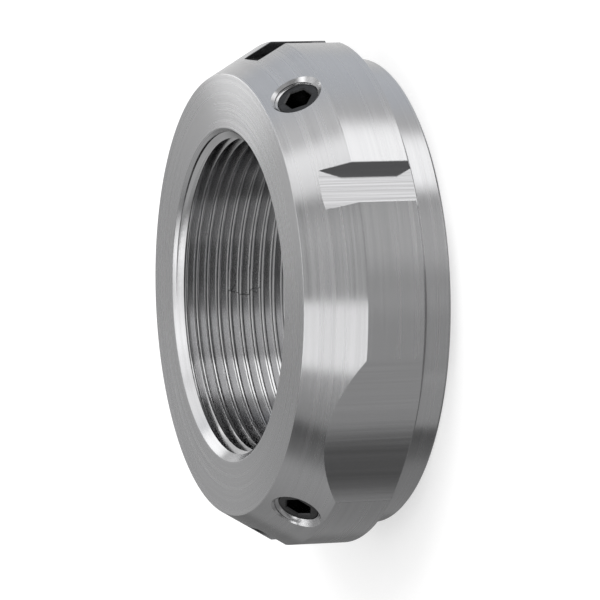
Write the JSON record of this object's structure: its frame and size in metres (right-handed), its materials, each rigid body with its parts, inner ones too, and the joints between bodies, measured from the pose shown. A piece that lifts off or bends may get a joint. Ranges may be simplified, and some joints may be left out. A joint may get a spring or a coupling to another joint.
{
  "type": "bearing lock nut",
  "caption": "Steel lock nut that holds a bearing on a threaded shaft, with a coned front, spanner slots, wrench flats, and inclined pins pressed on the thread by grub screws.",
  "frame": {"origin": "the bore axis at the rear face, which presses on the bearing and here rests on the ground", "axes": "+Z along the bore axis, from the rear face to the coned front; +X through the first grub screw; the wrench flats face +Y and -Y"},
  "size_m": [0.085, 0.08, 0.025],
  "materials": {
    "turned_steel": "fine turned all round, with milled slots and flats",
    "black_steel": "black oxide on alloy steel, slightly oily",
    "pin_steel": "machined, with the nut's thread cut in the tip"
  },
  "bodies": {
    "nut": {"nut_body": "turned_steel", "locking_pin_1": "pin_steel", "locking_pin_2": "pin_steel", "locking_pin_3": "pin_steel"},
    "screw_1": {"grub_screw_1": "black_steel"},
    "screw_2": {"grub_screw_2": "black_steel"},
    "screw_3": {"grub_screw_3": "black_steel"}
  },
  "joints": [
    {"name": "screw_1_travel", "type": "slide", "parent": "nut", "child": "screw_1", "axis": [0.866, 0, 0.5], "range_m": [0, 0.0025]},
    {"name": "screw_2_travel", "type": "slide", "parent": "nut", "child": "screw_2", "axis": [-0.433, 0.75, 0.5], "range_m": [0, 0.0025]},
    {"name": "screw_3_travel", "type": "slide", "parent": "nut", "child": "screw_3", "axis": [-0.433, -0.75, 0.5], "range_m": [0, 0.0025]}
  ]
}
